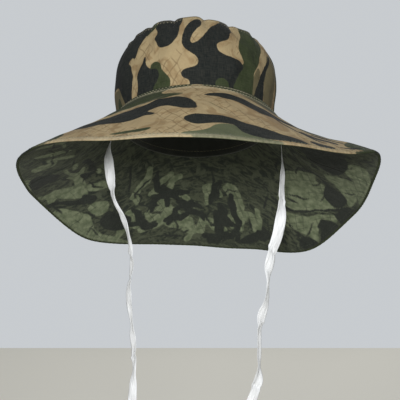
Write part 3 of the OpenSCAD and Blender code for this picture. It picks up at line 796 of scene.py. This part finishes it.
def flat_caps(count, half):
    """End caps of count flat rings, each with half its points on one face and half on the other."""
    last, end = (count - 1) * 2 * half, 2 * half - 1
    return ([[k, k + 1, end - 1 - k, end - k] for k in range(half - 1)]
            + [[last + end - k, last + end - 1 - k, last + k + 1, last + k] for k in range(half - 1)])


def lifted(lift, angle, share):
    """A lift off a sheet, given as millimetres or as a function of the place."""
    return lift(angle, share) if callable(lift) else lift + 0 * angle


def shell(name, node, sheet, print_of, angles, shares, low, high, way, material, pole=False):
    """A closed cloth layer between two lifts off a sheet.

    It joins up when the angles cover the whole turn. A pole closes a layer of the crown's top at its middle."""
    whole = abs((angles[-1] - angles[0]) + (angles[1] - angles[0]) - 360) < 1e-6
    a, s = np.meshgrid(angles, shares, indexing="ij")
    up = up_from(sheet, a, s, way)
    middle = sheet(a, s)
    lifts = [lifted(lift, a, s) for lift in (high, low)]
    count = a.size
    fields = {k: v.reshape(count, *v.shape[2:]) for k, v in print_of(a, s).items()}
    index = np.arange(count).reshape(a.shape)
    near = index if whole else index[:-1]
    far = np.roll(index, -1, axis=0) if whole else index[1:]
    a0, a1, b1, b0 = near[:, :-1], near[:, 1:], far[:, 1:], far[:, :-1]
    top = np.stack([a0, b0, b1, a1], -1).reshape(-1, 4)
    if way < 0:
        top = top[:, ::-1]
    quads = [top, top[:, ::-1] + count]
    rims = [(near[:, 0], far[:, 0])] + ([] if pole else [(far[:, -1], near[:, -1])])
    if not whole:
        rims += [(index[0, 1:], index[0, :-1]), (index[-1, :-1], index[-1, 1:])]
    for p, q in rims:
        rim = np.stack([p, p + count, q + count, q], -1)
        quads.append(rim if way > 0 else rim[:, ::-1])
    points = np.concatenate([(middle + lift[..., None] * up).reshape(-1, 3) for lift in lifts])
    triangles = None
    both = {k: np.concatenate([v, v]) for k, v in fields.items()}
    if pole:
        tip, axis = leaned(-TIP_SHIFT, 0.0, BAND_H + TOP_RISE), leaned(0.0, 0.0, 1.0)
        points = np.concatenate([points, [tip + np.mean(lift) * axis for lift in lifts]])
        both = {k: np.concatenate([v, v[-1:], v[-1:]]) for k, v in both.items()}
        outer = np.stack([near[:, -1], far[:, -1], np.full(len(near), 2 * count)], -1)
        inner = np.stack([far[:, -1] + count, near[:, -1] + count, np.full(len(near), 2 * count + 1)], -1)
        triangles = np.concatenate([outer, inner])
    piece = mesh_piece(name, points, np.concatenate(quads), material, both, triangles)
    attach(piece, "hat")
    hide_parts(node)


def run_along(points):
    """How far each point lies along the line through them."""
    return np.concatenate([[0], np.cumsum(np.linalg.norm(np.diff(points, axis=0), axis=1))])


def stitch_rows(name, node, rows, material, length=2.9, gap=0.8, thick=0.3):
    """Rows of single stitches, each a short thread that dips into the cloth at both ends.

    A row is (sheet, share from its inner edge, way, lift)."""
    points, quads, cloth, offset = [], [], [], 0
    sides, stations = 6, 6
    along = np.linspace(0, 1, stations)
    turn = np.radians(np.arange(sides) * 360 / sides)
    last = (stations - 1) * sides
    caps = np.array([[0, 3, 2, 1], [0, 5, 4, 3], [last, last + 1, last + 2, last + 3],
                     [last, last + 3, last + 4, last + 5]])
    for sheet, row_share, way, lift in rows:
        dense = np.linspace(-180, 180, 2881)
        run = run_along(sheet(dense, row_share + 0 * dense))
        number = int(run[-1] / (length + gap))
        start = np.arange(number) * run[-1] / number
        place = start[:, None] + length * along + 0.15 * np.sin(start * 1.7)[:, None]
        angle = np.interp(place % run[-1], run, dense)
        share = row_share + 0 * angle
        up = up_from(sheet, angle, share, way)
        side = sheet(angle, share + 0.004) - sheet(angle, share - 0.004)
        side -= np.sum(side * up, -1, keepdims=True) * up
        side /= np.linalg.norm(side, axis=-1)[..., None]
        rise = lifted(lift, angle, share) + 0.16 * np.sin(np.pi * along) - 3.52 * (along - 0.5) ** 4
        wide = thick * (0.55 + 0.45 * np.sin(np.pi * along))
        middle = sheet(angle, share) + rise[..., None] * up + 0.25 * (along - 0.5)[:, None] * side
        rings = (middle[:, :, None] + wide[:, None, None] * (np.cos(turn)[:, None] * side[:, :, None]
                                                              + 0.8 * np.sin(turn)[:, None] * up[:, :, None]))
        for stitch in rings:
            points.append(stitch.reshape(-1, 3))
            quads.append(np.concatenate([swept(stitch)[:, ::-1], caps]) + offset)
            offset += stations * sides
        u = place[:, :, None] + 0 * turn
        cloth.append(np.stack([u, 0.3 * np.degrees(turn) / 60 + 0 * u], -1).reshape(-1, 2))
    piece = mesh_piece(name, np.concatenate(points), np.concatenate(quads), material,
                       {"cloth": np.concatenate(cloth)})
    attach(piece, "hat")
    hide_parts(node)


# ---------------------------------------------------------------- camera, then the cords
# The camera is level, in metres: its distance, and how wide the picture is there
CAMERA_AWAY, VIEW_WIDTH = 1.6, 0.42
camera = bpy.data.objects.new("camera", bpy.data.cameras.new("camera"))
camera.data.sensor_width = 36
camera.data.lens = camera.data.sensor_width * CAMERA_AWAY / VIEW_WIDTH
camera.location = (0.0042, -CAMERA_AWAY, -0.0805)
camera.rotation_euler = (math.radians(90), 0, 0)
bpy.context.scene.collection.objects.link(camera)
bpy.context.scene.camera = camera

# The same points as part.scad's routes, in millimetres, with the turn of the ribbon's width about the vertical
LEFT_ROUTE = [(89, 0, -17), (90, 0, -30), (90.5, 0, -48), (90, -1, -66), (89.5, -2, -82), (89, -2, -98),
              (86, -2, -116), (81, -3, -132), (77, -3, -150), (76, -3, -168), (74, -3, -186), (69, -2, -202),
              (66, -2, -218), (66, -2, -236), (66, -2, -254), (65, -2, -270), (61, -2, -284), (56, -2, -298),
              (51, -2, -312), (48, -2, -328), (47, -2, -344), (46, -2, -360), (46, -2, -378)]
RIGHT_ROUTE = [(-89, 0, -17), (-91.5, 0, -28), (-91.5, 0, -42), (-89.5, -1, -60), (-86.5, -2, -80),
               (-78.5, -2, -96), (-72.5, -2, -112), (-69, -3, -130), (-67, -3, -150), (-70, -3, -168),
               (-70, -3, -186), (-67.5, -2, -204), (-66.5, -2, -222), (-65, -2, -240), (-65, -2, -256),
               (-66.5, -2, -272), (-67, -2, -288), (-67, -2, -304), (-66.5, -2, -320), (-66, -2, -336),
               (-66, -2, -352), (-66, -2, -366), (-66, -2, -378)]
LEFT_TURN = [88, 85, 73, 62, 53, 32, 22, 36, 45, 74, 64, 42, 68, 71, 73, 38, 36, 30, 22, 20, 26, 34, 40]
RIGHT_TURN = [-90, -66, -32, -46, -70, -66, -68, -71, -74, -72, -62, -71, -62, -67, -68, -58, -44, -40, -34,
              -30, -34, -40, -44]
RIBBON_W, RIBBON_T = 12.7, 0.4


def along_route(values, x):
    """Values between a route's points, by a smooth cubic that ends straight."""
    v = np.asarray(values, float)
    v = v.reshape(len(v), -1)
    v = np.concatenate([[2 * v[0] - v[1]], v, [2 * v[-1] - v[-2]]])
    i = np.clip(np.floor(x).astype(int), 0, len(v) - 4)
    u = (x - i)[:, None]
    a, b, c, d = v[i], v[i + 1], v[i + 2], v[i + 3]
    return b + u * (c - a) / 2 + u * u * (2 * a - 5 * b + 4 * c - d) / 2 + u ** 3 * (3 * b - a - 3 * c + d) / 2


def ribbon(name, route, turns, seed, nodes, creases):
    """A flat satin ribbon with a soft curl, creases across it and rolled selvedges.

    A crease is (place along the ribbon, depth, how far it slants)."""
    steps, half_sides = 220, 15
    x = np.linspace(0, len(route) - 1, steps)
    middle = along_route(route, x)
    turn = np.radians(along_route(turns, x)[:, 0])
    heading = np.gradient(middle, axis=0)
    heading /= np.linalg.norm(heading, axis=1)[:, None]
    wide = np.stack([np.cos(turn), np.sin(turn), 0 * turn], -1)
    wide -= np.sum(wide * heading, -1, keepdims=True) * heading
    wide /= np.linalg.norm(wide, axis=1)[:, None]
    thin = np.cross(heading, wide)
    run = run_along(middle)
    across = np.concatenate([np.linspace(-1, 1, half_sides), np.linspace(1, -1, half_sides)])
    side = np.concatenate([np.ones(half_sides), -np.ones(half_sides)])
    q, u = np.meshgrid(across, run)
    curl = 0.9 * np.sin(run / 31 + seed)[:, None] * (q * q - 0.4)
    ripple = 0.45 * np.sin(u / 7.3 + 2.2 * q + seed * 2) + 0.3 * np.sin(u / 3.9 - 1.7 * q + seed)
    for place, depth, slant in creases:
        ripple = ripple + depth * hump(u, place + slant * q, 2.2)
    # the ribbon lies flat where its tab holds it
    calm = smooth(u / 45)
    half = RIBBON_W / 2 * (1 - 0.012 * np.sin(u / 5 + seed) ** 2) * (0.94 + 0.06 * calm)
    roll = RIBBON_T / 2 * (side * (1 - 0.45 * np.abs(q) ** 8))
    rings = (middle[:, None] + (q * half)[..., None] * wide[:, None]
             + (calm * (curl + ripple) + roll)[..., None] * thin[:, None])
    quads = np.concatenate([swept(rings)[:, ::-1], flat_caps(steps, half_sides)])
    fields = {"cloth": np.stack([u, q * RIBBON_W / 2], -1).reshape(-1, 2), "edge": (np.abs(q) ** 12).ravel()}
    piece = mesh_piece(name, rings, quads, SATIN, fields)
    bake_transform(piece)
    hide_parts(*nodes)


ribbon("chin_tie_left", LEFT_ROUTE, LEFT_TURN, 0.4, ["tie_left_upper", "tie_left_lower"],
       [(64, 1.0, 1.5), (118, -1.6, 4), (196, 1.3, -2), (262, -1.5, 1), (330, 0.8, 3)])
ribbon("chin_tie_right", RIGHT_ROUTE, RIGHT_TURN, 2.1, ["tie_right_upper", "tie_right_lower"],
       [(52, -0.9, -2), (124, 1.4, 3), (152, -1.2, 1), (232, 1.2, -3), (318, -1.0, 2)])


def tie_tab(name, top, node):
    """The short folded loop of ribbon that sews a tie under the brim: an upright U, open at the top, along Y."""
    bend_r, leg_points, half_sides = 0.75, 8, 13
    turn = np.pi * (np.linspace(0, 1, 25) - 0.5)
    bottom = np.stack([bend_r * np.sin(turn), 0 * turn, -0.8 * np.cos(turn) + 0.3], -1)
    leg = np.linspace(3.4, 0.35, leg_points)
    legs = [np.stack([np.full(leg_points, x), 0 * leg, z], -1) for x, z in ((-bend_r, leg), (bend_r, leg[::-1]))]
    line = np.concatenate([legs[0], bottom[1:-1], legs[1]])
    along = np.gradient(line, axis=0)
    inward = np.stack([-along[:, 2], 0 * along[:, 0], along[:, 0]], -1)
    inward /= np.linalg.norm(inward, axis=1)[:, None]
    widths = np.linspace(-RIBBON_W / 2, RIBBON_W / 2, half_sides)
    grid = []
    for lift, places in ((RIBBON_T / 2, widths), (-RIBBON_T / 2, widths[::-1])):
        for w in places:
            ripple = 0.08 * np.sin(w * 1.3 + line[:, 2])
            grid.append(line + (lift + ripple)[:, None] * inward + [0, w, 0])
    rings = np.stack(grid, 1) + top
    u = np.arange(len(line))[:, None] * 0.4 + np.zeros(2 * half_sides)
    v = np.concatenate([widths, widths[::-1]])[None] + 0 * u
    piece = mesh_piece(name, rings, np.concatenate([swept(rings), flat_caps(len(line), half_sides)]), SATIN,
                       {"cloth": np.stack([u, v], -1).reshape(-1, 2),
                                        "edge": (np.abs(2 * v / RIBBON_W) ** 12).ravel()})
    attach(piece, "hat")
    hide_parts(node)


tie_tab("tie_tab_left_loop", LEFT_ROUTE[0], "tie_tab_left")
tie_tab("tie_tab_right_loop", RIGHT_ROUTE[0], "tie_tab_right")

# ---------------------------------------------------------------- the hat
FRONT = np.linspace(-89.9, 89.9, 301)
BACK = np.linspace(90.1, 269.9, 301)
WHOLE = np.arange(0, 360, 1.2)
BRIM_ROWS = np.linspace(-0.004, 0.985, 77)
BAND_ROWS = np.linspace(-0.006, 0.998, 47)


def brim_top_high(angle, t):
    """The upper cloth's outer face: raised over the seam allowance, drawn in at each row of stitches."""
    d = BRIM_W * t
    raised = 0.9 * (1 - smooth((d - 9.5) / 2.5))
    drawn = sum(0.3 * hump(d, row, 1.0) for row in (*SEAM_ROWS, EDGE_ROW))
    return 1.05 + raised - drawn + 0.25 * hump(d, 125, 2)


def brim_under_low(angle, t):
    """The under cloth's outer face."""
    d = BRIM_W * t
    return -1.05 + 0.3 * hump(d, EDGE_ROW, 1.0) - 0.25 * hump(d, 125, 2)


def crown_high(angle, v):
    """The crown band's outer face: thicker over the seam at its tip."""
    h = BAND_H * v
    return 0.8 + 0.7 * smooth((h - TIP_ROW) / 2.5) - 0.25 * hump(h, TIP_ROW, 0.8)


for side, angles in (("front", FRONT), ("back", BACK)):
    shell(f"brim_top_{side}_cloth", f"brim_top_{side}", brim_at, brim_print, angles, BRIM_ROWS, 0.45,
          brim_top_high, -1, CAMO)
    shell(f"brim_under_{side}_cloth", f"brim_under_{side}", brim_at, under_print, angles, BRIM_ROWS,
          brim_under_low, -0.45, -1, GREEN_CAMO)
    shell(f"crown_band_{side}_cloth", f"crown_band_{side}", band_at, band_print, angles, BAND_ROWS, 0.2,
          crown_high, 1, CAMO)
    shell(f"lining_band_{side}_cloth", f"lining_band_{side}", band_at, lining_print, angles[::2], BAND_ROWS[::2],
          -0.6, 0.0, 1, GREEN_CAMO)
shell("brim_stiffener_layer", "brim_stiffener", brim_at, plain, WHOLE[::2], BRIM_ROWS[3::3], -0.3, 0.3, -1,
      INTERLINING)
shell("crown_top_cloth", "crown_top", top_at, top_print, WHOLE, np.linspace(0.008, 0.97, 36), 0.2, 0.9, 1, CAMO,
      pole=True)
shell("lining_top_cloth", "lining_top", top_at, lining_top_print, WHOLE[::2], np.linspace(0.01, 0.96, 16), -0.6, 0.0,
      1, GREEN_CAMO, pole=True)
shell("sweatband_tape", "sweatband", band_at, plain, WHOLE, np.linspace(-0.022, 0.445, 16), -1.9, -1.0, 1, TWILL)


def edge_roll():
    """The brim's edge: its cloths turned in together, as a soft roll."""
    sides = 16
    angles = np.linspace(-180, 180, 901)[:-1]
    edge = brim_at(angles, 1 + 0 * angles)
    up = up_from(brim_at, angles, 0.995 + 0 * angles, -1)
    out = edge - brim_at(angles, 0.99 + 0 * angles)
    out /= np.linalg.norm(out, axis=1)[:, None]
    plump = (1 + 0.08 * waves(angles, EDGE_PUCKERS))[:, None, None]
    turn = np.radians(np.arange(sides) * 360 / sides)
    rings = (edge[:, None] - 1.2 * out[:, None] + 1.9 * plump * np.cos(turn)[:, None] * out[:, None]
             + 1.25 * plump * np.sin(turn)[:, None] * up[:, None])
    quads = swept(np.concatenate([rings, rings[:1]])) % (len(angles) * sides)
    a = np.repeat(angles[:, None], sides, 1)
    d = BRIM_W + 1.6 * (np.abs(turn - np.pi / 2) / np.pi)[None] + 0 * a
    fields = {k: v.reshape(-1, *v.shape[2:]) for k, v in brim_print(a, d / BRIM_W).items()}
    # the edge is green underneath and at the hat's sides, and keeps its painted highlight and its wear only on top
    # in front
    below = (np.sin(turn)[None] < -0.3) + 0 * a
    hidden = np.maximum(below, smooth((np.abs(a) - 44) / 10)).ravel()
    fields["green"] = np.maximum(fields["green"], 4 * hidden - 2)
    fields["dark"] = fields["dark"] - 3 * below.ravel()
    fields["wear"] = fields["wear"] * (1 - hidden)
    piece = mesh_piece("brim_edge_roll", rings, quads, CAMO, fields)
    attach(piece, "hat")
    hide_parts("brim_edge_binding")


edge_roll()

stitch_rows("stitches_brim_seam", "stitching_brim_seam",
            [(brim_at, row / BRIM_W, -1, brim_top_high) for row in SEAM_ROWS], SAND_THREAD)
stitch_rows("stitches_brim_edge", "stitching_brim_edge",
            [(brim_at, EDGE_ROW / BRIM_W, -1, face) for face in (brim_top_high, brim_under_low)], GREEN_THREAD)
stitch_rows("stitches_crown_top", "stitching_crown_top",
            [(band_at, TIP_ROW / BAND_H, 1, crown_high), (top_at, 0.04, 1, 0.95)], SAND_THREAD)
stitch_rows("stitches_sweatband", "stitching_sweatband",
            [(band_at, row, 1, -1.95) for row in (0.067, 0.415)], SAND_THREAD)

# ---------------------------------------------------------------- floor, light
# The floor ends where the photo's table meets its wall
FLOOR_SIDE, FLOOR_FRONT, FLOOR_BACK, FLOOR_Z = 3000, -4000, 1535, -0.385
paint = bpy.data.materials.new("floor_pale")
paint.use_nodes = True
matte = paint.node_tree.nodes["Principled BSDF"]
matte.inputs["Base Color"].default_value = (0.77, 0.75, 0.675, 1)
matte.inputs["Roughness"].default_value = 0.7
floor = mesh_piece("floor", [(-FLOOR_SIDE, FLOOR_FRONT, 0), (FLOOR_SIDE, FLOOR_FRONT, 0),
                             (FLOOR_SIDE, FLOOR_BACK, 0), (-FLOOR_SIDE, FLOOR_BACK, 0)], [[0, 1, 2, 3]], paint)
floor.location.z = FLOOR_Z

# The camera sees a plain grey-blue wall colour; everything else gets a weaker, whiter light from all round
world = bpy.data.worlds.new("studio")
world.use_nodes = True
nodes, links = world.node_tree.nodes, world.node_tree.links
seen = nodes["Background"]
seen.inputs["Color"].default_value = (0.575, 0.60, 0.625, 1)
soft = nodes.new("ShaderNodeBackground")
soft.inputs["Color"].default_value = (0.95, 0.98, 1.0, 1)
soft.inputs["Strength"].default_value = 0.30
either = nodes.new("ShaderNodeMixShader")
links.new(nodes.new("ShaderNodeLightPath").outputs["Is Camera Ray"], either.inputs[0])
links.new(soft.outputs[0], either.inputs[1])
links.new(seen.outputs[0], either.inputs[2])
links.new(either.outputs[0], nodes["World Output"].inputs["Surface"])
bpy.context.scene.world = world
bpy.context.scene.view_settings.view_transform = "Standard"


def studio_light(name, kind, place, aim, watts, colour, **settings):
    """A light in metres; settings are the light's own, such as its size or its cone."""
    light = bpy.data.lights.new(name, kind)
    for setting, value in settings.items():
        setattr(light, setting, value)
    light.energy = watts
    light.color = colour
    lamp = bpy.data.objects.new(name, light)
    lamp.location = place
    direction = np.array(aim) - np.array(place)
    yaw = math.atan2(direction[0], -direction[1])
    pitch = math.atan2(math.hypot(direction[0], direction[1]), -direction[2])
    lamp.rotation_euler = (pitch, 0, math.pi + yaw)
    bpy.context.scene.collection.objects.link(lamp)


studio_light("key", "SPOT", (-0.03, -1.75, 0.16), (0, 0, -0.04), 128, (1.0, 0.99, 0.97), shadow_soft_size=0.14,
             spot_size=math.radians(36), spot_blend=0.9)
studio_light("top_fill", "AREA", (-0.5, -1.2, 1.3), (0, 0, 0), 7, (0.97, 0.985, 1.0), size=1.0)
studio_light("back_rim", "AREA", (0.3, 1.9, 1.1), (0, 0, 0), 12, (1.0, 0.99, 0.97), size=1.2)
